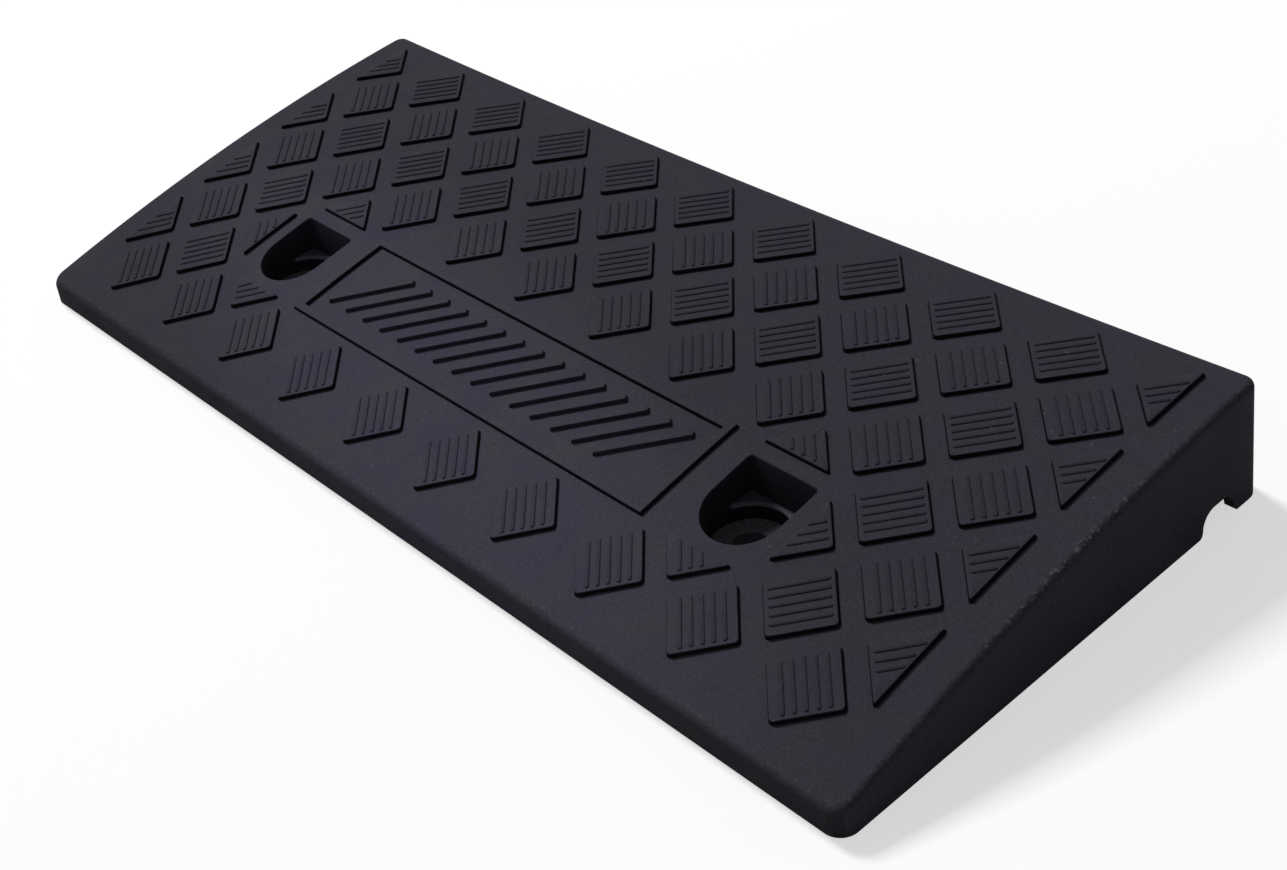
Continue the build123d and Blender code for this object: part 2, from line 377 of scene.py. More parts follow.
def grown_mesh(mesh, tree, values):
    """Plain mesh that a Geometry Nodes tree makes from a mesh and the values of its inputs."""
    obj = new_object(mesh.name, mesh)
    modifier = obj.modifiers.new(tree.name, "NODES")
    modifier.node_group = tree
    for socket in tree.interface.items_tree:
        if socket.in_out == "INPUT" and socket.name in values:
            modifier[socket.identifier] = values[socket.name]
    grown = evaluated_mesh(obj)
    remove(obj)
    return grown


def evaluated_mesh(obj):
    """Plain mesh of an object with its modifiers."""
    depsgraph = bpy.context.evaluated_depsgraph_get()
    return bpy.data.meshes.new_from_object(obj.evaluated_get(depsgraph), depsgraph=depsgraph)


def new_mesh(name, points, faces):
    """Mesh of points and faces, with doubles merged."""
    mesh = bpy.data.meshes.new(name)
    mesh.from_pydata([tuple(float(v) for v in p) for p in points], [], faces)
    built = bmesh.new()
    built.from_mesh(mesh)
    bmesh.ops.remove_doubles(built, verts=built.verts, dist=MERGE)
    built.to_mesh(mesh)
    built.free()
    return mesh


def new_object(name, mesh):
    """Object at the origin that holds a mesh."""
    obj = bpy.data.objects.new(name, mesh)
    bpy.context.scene.collection.objects.link(obj)
    return obj


def remove(*objects):
    """Remove helper objects with their meshes."""
    for obj in objects:
        mesh = obj.data
        bpy.data.objects.remove(obj)
        if mesh.users == 0:
            bpy.data.meshes.remove(mesh)


def ring_stack(rings, first=0):
    """Faces through rings of as many points each, closed by a face at both ends."""
    count = len(rings[0])
    faces = []
    for r in range(len(rings) - 1):
        low, high = first + r * count, first + (r + 1) * count
        for k in range(count):
            after = (k + 1) % count
            faces.append((low + k, low + after, high + after, high + k))
    faces.append(tuple(first + k for k in reversed(range(count))))
    faces.append(tuple(first + (len(rings) - 1) * count + k for k in range(count)))
    return faces


def stacked_mesh(name, stacks):
    """Mesh of one or more stacks of rings."""
    points, faces = [], []
    for rings in stacks:
        faces += ring_stack(rings, len(points))
        points += [p for ring in rings for p in ring]
    return new_mesh(name, points, faces)


def arc(x, y, radius, start, sweep, steps):
    """Points in plan on an arc, its end included."""
    turns = [start + sweep * k / steps for k in range(steps + 1)]
    return [(x + radius * cos(t), y + radius * sin(t)) for t in turns]


def circle(middle, radius, z, steps=CIRCLE_STEPS):
    """Ring of points, counter-clockwise."""
    return [(x, y, z) for x, y in arc(middle.x, middle.y, radius, 0, 2 * pi, steps)[:-1]]


def cut(obj, *cutters):
    """Cut helper objects out of an object."""
    for cutter in cutters:
        modifier = obj.modifiers.new(cutter.name, "BOOLEAN")
        modifier.operation = "DIFFERENCE"
        modifier.solver = "EXACT"
        modifier.object = cutter


def vectors(elements, name):
    """Vectors that a mesh's points or faces hold under a name, as rows."""
    values = np.zeros(len(elements) * 3)
    elements.foreach_get(name, values)
    return values.reshape(-1, 3)


def store(mesh, name, domain, values, kind="FLOAT"):
    """Store a value for each point or face of a mesh."""
    mesh.attributes.new(name, kind, domain).data.foreach_set("value", values)


def let_sag(mesh, deck, moulding):
    """Let the kerb edge dip towards its middle, as a long moulding does when it cools. The rim stays flat."""
    places = vectors(mesh.vertices, "co")
    x, y, z = places.T
    middle = 1 - (x / deck.half_length) ** 2
    back = np.clip((y + deck.half_depth) / (2 * deck.half_depth), 0, 1)
    share = np.clip((z - deck.rim) / (deck.height(y) - deck.rim), 0, 1)
    places[:, 2] -= moulding.deck_sag * middle * back * share**2
    mesh.vertices.foreach_set("co", places.ravel())
    mesh.update()


def mark_edges(mesh, deck, moulding):
    """Store how worn each point of the rounded deck edge is: most in one stretch of the right end."""
    x, y, z = vectors(mesh.vertices, "co").T
    edge = moulding.deck_edge
    inset = deck.lean * (z - deck.rim)
    from_wall = np.minimum(deck.half_length - np.abs(x), deck.half_depth - np.abs(y)) - inset
    from_deck = deck.height(y) - z
    # The turn round the edge is 0 on the wall and 90 degrees on the deck, and wear sits near the deck.
    turn = np.arctan2(edge - from_deck, edge - from_wall)
    worn = np.clip(1 - np.abs(turn - moulding.wear_turn) / moulding.wear_spread, 0, 1)
    worn[np.maximum(from_wall, from_deck) > edge] = 0
    on_right = np.clip(x / deck.half_length, 0, 1) ** WEAR_FADE
    stretch = np.exp(-(((y - moulding.wear_middle) / moulding.wear_reach) ** 2))
    least = moulding.wear_least
    worn *= least + (1 - least) * on_right * stretch
    store(mesh, "edge_wear", "POINT", worn.astype(np.float32))


def mark_shades(mesh, deck, moulding, pocket, bolts):
    """Store the shade of each face: painted shade blackens the pocket walls and the lip's wall, and painted
    light pales the pockets' level faces, their slanted rims and the lip's upper edge.
    """
    x, y, z = vectors(mesh.polygons, "center").T
    _, back, up = vectors(mesh.polygons, "normal").T
    # Painted shade on the pockets' walls, painted light on their level faces and a painted highlight on their
    # slanted rims.
    shade = np.where(up < STEEP, pocket.wall_shade, np.where(up > FLAT, pocket.ledge_shade, pocket.rim_shade))
    inside = np.zeros(len(x), bool)
    spare = pocket.wall / 2
    for bolt in bolts:
        beside = np.abs(x - bolt.x) < pocket.radius + spare
        ahead = (y - bolt.y > -pocket.radius - spare) & (y - bolt.y < pocket.flat + spare)
        inside |= beside & ahead
    below = (z < deck.height(y) - 2 * pocket.mouth) & (z > deck.rim + pocket.seat_height - pocket.mouth)
    shade[~(inside & below)] = 0
    # The lip's wall gets painted shade, and the top of its rounded edge a painted highlight.
    lip = (back < 0) & (y < moulding.deck_edge - deck.half_depth)
    shade[lip] = moulding.lip_shade * (1 - LIP_FALL * up[lip])
    store(mesh, "shade", "FACE", shade.astype(np.float32))


def mark_sides(mesh, tread, lifts, black=1.0):
    """Store a raised shape's painted shade by its points' heights above the deck: sides and ribs are painted
    blacker.
    """
    shade = []
    for lift in lifts:
        side = black * min(max((tread.relief - lift) / tread.bevel, 0), 1)
        on_rib = lift > tread.relief + 10 * MERGE
        shade.append(tread.rib_shade if on_rib else side)
    store(mesh, "shade", "POINT", shade)


def finish_piece(name, mesh, moulding, crease=None):
    """Piece of the moulding, riding on the CAD body, with its material and, if asked, smooth shading."""
    mesh.name = name
    mesh.materials.clear()
    mesh.materials.append(moulded_polypropylene(moulding))
    if crease is None:
        mesh.shade_flat()
    else:
        mesh.shade_smooth()
        mesh.set_sharp_from_angle(angle=crease)
    piece = new_object(name, mesh)
    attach(piece, "root")
    return piece


def new_material(name):
    """Material made of nodes, with its tree and its shader."""
    material = bpy.data.materials.new(name)
    material.use_nodes = True
    return material, material.node_tree, material.node_tree.nodes["Principled BSDF"]


def moulded_polypropylene(moulding):
    """Black polypropylene, injection moulded in a grained tool: matt, with cloudy flow marks, scuffs and
    dust, and with painted shade, painted light and a painted sheen.
    """
    if "moulded_polypropylene" in bpy.data.materials:
        return bpy.data.materials["moulded_polypropylene"]
    material, tree, shader = new_material("moulded_polypropylene")
    place = add_node(tree, "ShaderNodeTexCoord").outputs["Object"]
    # Flow marks: clouds about 20 mm across, where the black turns slightly blue.
    flow = add_node(tree, "ShaderNodeTexNoise", {"Vector": place, "Scale": 1 / (20 * MM), "Detail": 3.0})
    cloud = add_node(tree, "ShaderNodeMapRange", {"Value": flow, "From Min": 0.3, "From Max": 0.66})
    # Painted sheen: a soft ellipse along the lower deck is painted paler and bluer, in place of the lamp's
    # sheen.
    ellipse = {
        "Vector": place,
        "Location": (0, RAMP_LOW.y + moulding.bloom_setback, 0),
        "Rotation": (0, 0, moulding.bloom_turn),
        "Scale": (moulding.bloom_length / 2, moulding.bloom_width / 2, 1),
    }
    spread = add_node(tree, "ShaderNodeMapping", ellipse, vector_type="TEXTURE")
    sheen_falloff = add_node(tree, "ShaderNodeTexGradient", {"Vector": spread}, gradient_type="SPHERICAL")
    soft = {"Value": sheen_falloff.outputs["Fac"], "From Max": 0.7}
    painted_sheen = add_node(tree, "ShaderNodeMapRange", soft, interpolation_type="SMOOTHSTEP")
    # Inside the painted sheen the flow marks' blue grows, so the sheen is painted bluish.
    cool = add_node(tree, "ShaderNodeMath", {0: painted_sheen, 1: 0.6, 2: 0.35}, operation="MULTIPLY_ADD")
    blue = add_node(tree, "ShaderNodeMath", {0: cloud, 1: cool}, operation="MULTIPLY")
    blacks = {6: [*moulding.surface_colour, 1], 7: [*moulding.cast_colour, 1]}
    tint = add_node(tree, "ShaderNodeMix", {0: blue, **blacks}, data_type="RGBA").outputs[2]
    # Grain: 0.9 mm cells, a little coarser than the real tool texture so that it shows.
    grain = add_node(tree, "ShaderNodeTexNoise", {"Vector": place, "Scale": 1 / (0.9 * MM), "Detail": 2.0})
    fine = {"Value": grain, "From Min": 0.3, "From Max": 0.7, "To Min": 0.84, "To Max": 1.16}
    speck = add_node(tree, "ShaderNodeMapRange", fine)
    # Shade: painted shade blackens the pocket walls, the lip's wall and the sides and ribs of raised shapes;
    # painted light pales the ledges, and the painted sheen the lower deck.
    shade = add_node(tree, "ShaderNodeAttribute", attribute_name="shade").outputs["Fac"]
    black = add_node(tree, "ShaderNodeMath", {0: shade, 1: -BLACKEST, 2: 1.0}, operation="MULTIPLY_ADD")
    gain = {0: painted_sheen, 1: moulding.bloom_gain, 2: 1.0}
    sheened = add_node(tree, "ShaderNodeMath", gain, operation="MULTIPLY_ADD")
    broad = add_node(tree, "ShaderNodeMath", {0: sheened, 1: black}, operation="MULTIPLY")
    tone = add_node(tree, "ShaderNodeMath", {0: speck, 1: broad}, operation="MULTIPLY")
    speckled = add_node(
        tree, "ShaderNodeMix", {0: 1.0, 6: tint, 7: tone}, data_type="RGBA", blend_type="MULTIPLY"
    ).outputs[2]
    # Scuffs: pale, broken marks about 1.4 mm across, along the rounded deck edge.
    worn = add_node(tree, "ShaderNodeAttribute", attribute_name="edge_wear").outputs["Fac"]
    stroke = add_node(tree, "ShaderNodeTexNoise", {"Vector": place, "Scale": 1 / (1.4 * MM), "Detail": 3.0})
    gaps = {"Value": stroke, "From Min": 0.52, "From Max": 0.66, "To Max": 0.4}
    broken = add_node(tree, "ShaderNodeMapRange", gaps)
    scuff = add_node(tree, "ShaderNodeMath", {0: worn, 1: broken}, operation="MULTIPLY")
    # Dust: pale specks up to 1 mm across, a few centimetres apart.
    cells = add_node(tree, "ShaderNodeTexVoronoi", {"Vector": place, "Scale": 1 / (10 * MM)})
    dots = {"Value": cells, "From Min": 0.02, "From Max": 0.06, "To Min": 0.16, "To Max": 0.0}
    dust = add_node(tree, "ShaderNodeMapRange", dots)
    pale = add_node(tree, "ShaderNodeMath", {0: scuff, 1: dust}, operation="MAXIMUM")
    layers = {0: pale, 6: speckled, 7: [*moulding.scuff_colour, 1]}
    surface = add_node(tree, "ShaderNodeMix", layers, data_type="RGBA").outputs[2]
    gloss = {"Value": flow, "From Min": 0.3, "From Max": 0.7, "To Min": 0.56, "To Max": 0.7}
    sheen = add_node(tree, "ShaderNodeMapRange", gloss)
    bump = add_node(tree, "ShaderNodeBump", {"Height": grain, "Distance": 0.12 * MM, "Strength": 0.5})
    finish = {"Base Color": surface, "Roughness": sheen, "Normal": bump, "Specular IOR Level": 0.01}
    set_inputs(shader, finish)
    return material


def coated_steel():
    """Steel with a black phosphate coat: dull metal, slightly paler where the coat is thin."""
    material, tree, shader = new_material("phosphate_coated_steel")
    place = add_node(tree, "ShaderNodeTexCoord").outputs["Object"]
    # The coat's crystals are finer than the render shows, so they are drawn 1.2 mm across.
    coat = add_node(tree, "ShaderNodeTexNoise", {"Vector": place, "Scale": 1 / (1.2 * MM), "Detail": 3.0})
    thin = add_node(tree, "ShaderNodeMapRange", {"Value": coat, "From Min": 0.35, "From Max": 0.7})
    greys = {6: [*linear("403e45"), 1], 7: [*linear("56545c"), 1]}
    tone = add_node(tree, "ShaderNodeMix", {0: thin, **greys}, data_type="RGBA").outputs[2]
    gloss = add_node(tree, "ShaderNodeMapRange", {"Value": coat, "To Min": 0.62, "To Max": 0.45})
    set_inputs(shader, {"Base Color": tone, "Roughness": gloss, "Specular IOR Level": 0.02})
    return material


def foot_rubber():
    """Black natural rubber, pressed: dull and slightly dusty."""
    material, tree, shader = new_material("pressed_rubber")
    place = add_node(tree, "ShaderNodeTexCoord").outputs["Object"]
    # Dust lies in patches about 5 mm across.
    dust = add_node(tree, "ShaderNodeTexNoise", {"Vector": place, "Scale": 1 / (5 * MM), "Detail": 4.0})
    greys = {6: [*linear("1b1b1c"), 1], 7: [*linear("2b2a2a"), 1]}
    tone = add_node(tree, "ShaderNodeMix", {0: dust, **greys}, data_type="RGBA").outputs[2]
    bump = add_node(tree, "ShaderNodeBump", {"Height": dust, "Distance": 0.1 * MM})
    set_inputs(shader, {"Base Color": tone, "Normal": bump, "Roughness": 0.85, "Specular IOR Level": 0.2})
    return material


def rim_outline(deck, moulding):
    """Outline of the rim, counter-clockwise from the left lip corner's middle: points and outward ways."""
    # Each corner has its sides' signs and the direction of its middle in degrees.
    corners = [(-1, -1, 225), (1, -1, 315), (1, 1, 405), (-1, 1, 495)]
    places, normals = [], []
    for side in range(4):
        halves = []
        for corner, start in ((corners[side], 0), (corners[(side + 1) % 4], -45)):
            sign_x, sign_y, middle = corner
            radius = moulding.lip_corner if sign_y < 0 else moulding.kerb_corner
            turns = np.radians(middle + start + np.linspace(0, 45, CORNER_STEPS + 1))
            way = np.stack([np.cos(turns), np.sin(turns)], 1)
            centre = (sign_x * (deck.half_length - radius), sign_y * (deck.half_depth - radius))
            halves.append((centre + radius * way, way))
        (leave, leave_way), (arrive, arrive_way) = halves
        steps = (SHORT_STEPS if side % 2 else LONG_STEPS) + 1
        straight = np.linspace(leave[-1], arrive[0], steps)[1:-1]
        places += [leave, straight, arrive[:-1]]
        normals += [leave_way, np.repeat(leave_way[-1:], steps - 2, 0), arrive_way[:-1]]
    return np.concatenate(places), np.concatenate(normals)


def edge_ring(deck, moulding, outline, turn, drop=0.0):
    """Ring on the rounded deck edge: turn is 0 on the wall and 90 degrees on the deck."""
    places, normals = outline
    edge = moulding.deck_edge
    inset = np.full(len(places), edge)
    for _ in range(EDGE_ROUNDS):
        top = deck.height(places[:, 1] - inset * normals[:, 1])
        inset = deck.lean * (top - edge - drop - deck.rim) + edge * (1 - cos(turn))
    plan = places - inset[:, None] * normals
    return np.column_stack([plan, deck.height(plan[:, 1]) - edge * (1 - sin(turn)) - drop])


def shell_mesh(deck, moulding):
    """Solid block of the moulding, with drafted walls, rounded edges and the crowned deck."""
    outline = rim_outline(deck, moulding)
    places, _ = outline
    rings = [np.column_stack([places, np.full(len(places), deck.rim)])]
    # A ring on the wall just under the rounded edge keeps the wall's shading even.
    rings.append(edge_ring(deck, moulding, outline, 0.0, drop=1 * MM))
    rings += [edge_ring(deck, moulding, outline, pi / 2 * k / EDGE_STEPS) for k in range(EDGE_STEPS + 1)]
    points = [p for ring in rings for p in ring]
    faces = ring_stack(rings)[:-1]
    # The deck is a grid stretched over the innermost ring, whose four sides are the grid's sides.
    count = len(places)
    across, up = LONG_STEPS + 2 * CORNER_STEPS, SHORT_STEPS + 2 * CORNER_STEPS
    along_x, along_y = np.arange(across + 1), np.arange(up + 1)
    index = np.zeros((across + 1, up + 1), int)
    index[:, 0] = along_x
    index[:, up] = 2 * across + up - along_x
    index[across] = across + along_y
    index[0] = (2 * across + 2 * up - along_y) % count
    border = rings[-1][:, :2]
    low, high, left, right = (border[side] for side in (index[:, :1], index[:, -1:], index[:1], index[-1:]))
    s, t = (along_x / across)[:, None, None], (along_y / up)[None, :, None]
    corners = (1 - s) * ((1 - t) * low[:1] + t * high[:1]) + s * ((1 - t) * low[-1:] + t * high[-1:])
    plan = (1 - t) * low + t * high + (1 - s) * left + s * right - corners
    inner = plan[1:-1, 1:-1]
    index[1:-1, 1:-1] = count + np.arange((across - 1) * (up - 1)).reshape(across - 1, up - 1)
    index += len(points) - count
    points += [(x, y, deck.height(y)) for x, y in inner.reshape(-1, 2)]
    grid = np.stack([index[:-1, :-1], index[1:, :-1], index[1:, 1:], index[:-1, 1:]], -1)
    faces += grid.reshape(-1, 4).tolist()
    return new_mesh("shell", points, faces)


def pocket_plan(pocket, spread, back_spread):
    """Outline of a pocket about its bolt's axis, with its sides and its flat back moved out."""
    side, turn, back, half_turn = POCKET_STEPS
    radius, flat = pocket.radius + spread, pocket.flat + back_spread
    corner = pocket.corner + spread
    points = [(radius, (flat - corner) * k / side) for k in range(side)]
    points += arc(radius - corner, flat - corner, corner, 0, pi / 2, turn)[:-1]
    points += [((radius - corner) * (1 - 2 * k / back), flat) for k in range(back)]
    points += arc(corner - radius, flat - corner, corner, pi / 2, pi / 2, turn)[:-1]
    points += [(-radius, (flat - corner) * (1 - k / side)) for k in range(side)]
    return points + arc(0, 0, radius, pi, pi, half_turn)[:-1]


def pocket_rings(deck, pocket, bolt):
    """Rings of the space in a pocket, from below the rim up through the deck."""
    ledge = deck.rim + pocket.ledge_height
    seat = deck.rim + pocket.seat_height
    plan = pocket_plan(pocket, 0, 0)
    hole = circle(bolt, pocket.hole_radius, deck.rim - 2 * OVERRUN, len(plan))
    bore = circle(bolt, pocket.radius, seat, len(plan))
    rings = [hole, [(x, y, seat) for x, y, _ in hole], bore]
    # The counterbore's wall ends in two rings, the upper one at the foot of the ledge's chamfered rim.
    rings += [[(x, y, ledge - drop * pocket.rim_chamfer) for x, y, _ in bore] for drop in (1.4, 1)]
    # The chamfer narrows to nothing where the ledge runs out beside the counterbore.
    rim = []
    for x, y, _ in bore:
        across, up = abs(x - bolt.x), y - bolt.y
        room = 0.0
        if up > 0:
            room = (min(pocket.radius / max(across, MM), pocket.flat / up) - 1) * pocket.radius
        grow = 1 + min(pocket.rim_chamfer, room / 2) / pocket.radius
        rim.append((bolt.x + (x - bolt.x) * grow, bolt.y + (y - bolt.y) * grow, ledge))
    rings += [rim, [(bolt.x + x, bolt.y + y, ledge) for x, y in plan]]
    # The last rings follow the deck: the drafted wall, then two slopes that soften the mouth. Each has its
    # depth below the deck and its flare, as shares of the mouth's size.
    for depth, widening in ((1, 0), (0.35, 0.25), (-0.5, 1.1)):
        drop, flare = depth * pocket.mouth, widening * pocket.mouth
        ring = []
        for k in range(len(plan)):
            z = ledge
            for _ in range(POCKET_ROUNDS):
                sides, back = ((z - ledge) * tan(lean) + flare for lean in (pocket.draft, pocket.back_lean))
                x, y = pocket_plan(pocket, sides, back)[k]
                z = float(deck.height(bolt.y + y)) - drop
            ring.append((bolt.x + x, bolt.y + y, z))
        rings.append(ring)
    return rings


def notch_mesh(deck, moulding):
    """Arched cutter along the whole length, near the kerb, with a softened foot."""
    half, top, rounding = moulding.notch_width / 2, moulding.notch_height, moulding.notch_round
    flare = moulding.notch_flare
    # The softened foot narrows in two straight steps, drawn as shares of the flare.
    side = [(half + flare, -OVERRUN), (half + flare, 0), (half + 0.3 * flare, 0.6 * flare)]
    side.append((half, 1.8 * flare))
    side += arc(half - rounding, top - rounding, rounding, 0, pi / 2, NOTCH_STEPS)
    profile = side + [(-u, v) for u, v in reversed(side)]
    middle = deck.half_depth - moulding.notch_setback
    reach = deck.half_length + OVERRUN
    rings = [[(x, middle + u, deck.rim + v) for u, v in profile] for x in (-reach, reach)]
    return stacked_mesh("notch", [rings])


def post_mesh(deck, moulding, pocket, bolts, feet):
    """Posts that stay standing in the hollow: round the feet's sockets and the bolt pockets."""
    low, high = deck.rim - POST_OVERRUN, deck.rim + moulding.kerb_height + 4 * OVERRUN
    stacks = []
    for middle, radius in feet:
        boss = radius + moulding.foot_clearance + moulding.foot_boss_wall
        stacks.append([circle(middle, boss, z) for z in (low, high)])
    reach = (moulding.kerb_height - pocket.ledge_height) * tan(pocket.back_lean)
    plan = pocket_plan(pocket, pocket.wall, pocket.wall + reach)
    for bolt in bolts:
        stacks.append([[(bolt.x + x, bolt.y + y, z) for x, y in plan] for z in (low, high)])
    return stacked_mesh("posts", stacks)


def cell_tree(values):
    """Tree of the hollow underside: a grid of cells under the deck, less the posts that stay standing."""
    tree = new_tree("Hollow underside", values)
    given = add_node(tree, "NodeGroupInput").outputs
    sides, spans = {2: 4 * OVERRUN}, {}
    ways = (("X", "Column pitch", "Columns"), ("Y", "Row pitch", "Rows"))
    for way, (axis, pitch, count) in enumerate(ways):
        clear = {0: given[pitch], 1: given["Rib thickness"]}
        sides[way] = add_node(tree, "ShaderNodeMath", clear, operation="SUBTRACT")
        gaps = add_node(tree, "ShaderNodeMath", {0: given[count], 1: 1.0}, operation="SUBTRACT")
        pitches = {0: given[pitch], 1: gaps}
        spans[f"Size {axis}"] = add_node(tree, "ShaderNodeMath", pitches, operation="MULTIPLY")
        spans[f"Vertices {axis}"] = given[count]
    block = add_node(tree, "ShaderNodeCombineXYZ", sides)
    points = {"Vertices X": 2, "Vertices Y": CELL_STEPS + 1, "Vertices Z": 2}
    cell = add_node(tree, "GeometryNodeMeshCube", {"Size": block, **points})
    grid = add_node(tree, "GeometryNodeMeshGrid", spans)
    middles = add_node(tree, "GeometryNodeTransform", {"Geometry": grid, "Translation": given["Middle"]})
    cells = add_node(tree, "GeometryNodeInstanceOnPoints", {"Points": middles, "Instance": cell})
    solid = add_node(tree, "GeometryNodeRealizeInstances", {"Geometry": cells})
    # Each roof point rises to the deck's underside.
    here = add_node(tree, "GeometryNodeInputPosition")
    x, y, z = add_node(tree, "ShaderNodeSeparateXYZ", {0: here}).outputs
    across = add_node(tree, "ShaderNodeMath", {0: y, 1: given["Roof axis Y"]}, operation="SUBTRACT")
    across_squared = add_node(tree, "ShaderNodeMath", {0: across, 1: 2.0}, operation="POWER")
    reach_squared = add_node(tree, "ShaderNodeMath", {0: given["Roof radius"], 1: 2.0}, operation="POWER")
    squares = {0: reach_squared, 1: across_squared}
    rise_squared = add_node(tree, "ShaderNodeMath", squares, operation="SUBTRACT")
    rise = add_node(tree, "ShaderNodeMath", {0: rise_squared}, operation="SQRT")
    roof = add_node(tree, "ShaderNodeMath", {0: given["Roof axis Z"], 1: rise}, operation="ADD")
    is_roof = add_node(tree, "ShaderNodeMath", {0: z, 1: 0.0}, operation="GREATER_THAN")
    levels = {"Switch": is_roof, "False": given["Floor"], "True": roof}
    height = add_node(tree, "GeometryNodeSwitch", levels, input_type="FLOAT")
    # The outer cells lean in with the end walls.
    from_rim = add_node(tree, "ShaderNodeMath", {0: height, 1: given["Rim"]}, operation="SUBTRACT")
    above = add_node(tree, "ShaderNodeMath", {0: from_rim, 1: 0.0}, operation="MAXIMUM")
    inset = add_node(tree, "ShaderNodeMath", {0: given["Lean"], 1: above}, operation="MULTIPLY")
    right = add_node(tree, "ShaderNodeMath", {0: given["Half length"], 1: inset}, operation="SUBTRACT")
    left = add_node(tree, "ShaderNodeMath", {0: right, 1: -1.0}, operation="MULTIPLY")
    between = add_node(tree, "ShaderNodeClamp", {"Value": x, "Min": left, "Max": right})
    moved = add_node(tree, "ShaderNodeCombineXYZ", {0: between, 1: y, 2: height})
    shaped = add_node(tree, "GeometryNodeSetPosition", {"Geometry": solid, "Position": moved})
    posts = add_node(tree, "GeometryNodeObjectInfo", {"Object": given["Posts"]}).outputs["Geometry"]
    hollow = add_node(
        tree, "GeometryNodeMeshBoolean", {0: shaped, 1: posts}, operation="DIFFERENCE", solver="EXACT"
    )
    return end_tree(tree, hollow, given["Material"])


def middle_of(node):
    """Middle of a CAD node's box, and half its width."""
    low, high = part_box(node)
    return (low + high) / 2, (high.x - low.x) / 2


class KERBRAMP_OT_moulding(bpy.types.Operator):
    """Build the moulding: crowned deck, walls, bolt pockets, ribbed underside and cable notch"""

    bl_idname = "kerb_ramp.moulding"
    bl_label = "Moulding"

    def execute(self, context):
        settings = context.scene.kerb_ramp
        moulding, pocket = settings.moulding, settings.pocket
        deck = Deck(moulding)
        bolts = [middle_of(node)[0] for node in BUSHES]
        feet = [middle_of(node) for node in FEET]
        posts = new_object("posts", post_mesh(deck, moulding, pocket, bolts, feet))
        front = -deck.half_depth + moulding.lip_land
        back = deck.half_depth - moulding.kerb_wall
        inner_length = 2 * (deck.half_length - moulding.end_wall)
        columns, rows, rib = moulding.cell_columns, moulding.cell_rows, moulding.rib_thickness
        values = {
            "Columns": columns,
            "Rows": rows,
            "Column pitch": (inner_length + rib) / columns,
            "Row pitch": (back - front + rib) / rows,
            "Rib thickness": rib,
            "Middle": (0.0, (front + back) / 2, 0.0),
            "Half length": inner_length / 2,
            "Lean": deck.lean,
            "Rim": deck.rim,
            "Floor": -OVERRUN,
            "Roof radius": deck.radius - moulding.deck_thickness,
            "Roof axis Y": deck.axis_y,
            "Roof axis Z": deck.axis_z,
            "Posts": posts,
            "Material": moulded_polypropylene(moulding),
        }
        hollow = new_object("hollow", grown_mesh(bpy.data.meshes.new("cells"), cell_tree(values), values))
        stacks = [pocket_rings(deck, pocket, bolt) for bolt in bolts]
        pockets = new_object("pockets", stacked_mesh("pockets", stacks))
        stacks = []
        for node, (middle, radius) in zip(FEET, feet):
            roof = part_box(node)[1].z
            wide = radius + moulding.foot_clearance
            stacks.append([circle(middle, wide, z) for z in (deck.rim - POST_OVERRUN, roof)])
        sockets = new_object("sockets", stacked_mesh("sockets", stacks))
        notch = new_object("notch", notch_mesh(deck, moulding))
        block = new_object("block", shell_mesh(deck, moulding))
        cut(block, hollow, pockets, sockets, notch)
        mesh = evaluated_mesh(block)
        remove(block, hollow, pockets, sockets, notch, posts)
        mark_edges(mesh, deck, moulding)
        mark_shades(mesh, deck, moulding, pocket, bolts)
        let_sag(mesh, deck, moulding)
        piece = finish_piece("ramp_moulding", mesh, moulding, MOULDING_CREASE)
        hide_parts("ramp_body")
        return {"FINISHED"}


def corner_ways(corners):
    """Each corner of a convex outline, with its way to the one before, its way inwards and half its angle."""
    corners = [Vector(c) for c in corners]
    for before, here, after in zip(corners[-1:] + corners[:-1], corners, corners[1:] + corners[:1]):
        to_before, to_after = (before - here).normalized(), (after - here).normalized()
        yield here, to_before, (to_before + to_after).normalized(), to_before.angle(to_after) / 2


def inset_corners(corners, amount):
    """Corners of a convex outline, counter-clockwise, with its sides moved in."""
    return [tuple(here + inward * (amount / sin(half))) for here, _, inward, half in corner_ways(corners)]


def rounded(corners, radii, steps=3):
    """Convex outline with its corners rounded, each by a radius of its own."""
    points = []
    for (here, to_before, inward, half), radius in zip(corner_ways(corners), radii):
        centre = here + inward * (radius / sin(half))
        start = here + to_before * (radius / tan(half)) - centre
        points += arc(centre.x, centre.y, radius, atan2(start.y, start.x), pi - 2 * half, steps)
    return points


def pad_corners(tread, kept, trim):
    """Corners of a pad, counter-clockwise: a whole square on its corner, or the half on one side, trimmed."""
    reach = tread.side / sqrt(2)
    if kept == "whole":
        return [(reach, 0), (0, reach), (-reach, 0), (0, -reach)]
    turn = Matrix.Rotation({"right": 0, "up": pi / 2, "left": pi, "down": -pi / 2}[kept], 2)
    half = [(reach, 0), (trim, reach - trim), (trim, trim - reach)]
    return [tuple(turn @ Vector(c)) for c in half]


def inside_span(corners, origin, way):
    """Stretch of a line that lies inside a convex outline, as two distances from its origin."""
    low, high = -FAR, FAR
    for here, after in zip(corners, corners[1:] + corners[:1]):
        here, side = Vector(here), Vector(after) - Vector(here)
        outward = Vector((side.y, -side.x)).normalized()
        rate, gap = outward.dot(way), outward.dot(here - origin)
        if abs(rate) < PARALLEL:
            # The line runs along this side, inside or outside of it.
            if gap < 0:
                return 0.0, 0.0
        elif rate > 0:
            high = min(high, gap / rate)
        else:
            low = max(low, gap / rate)
    return low, high


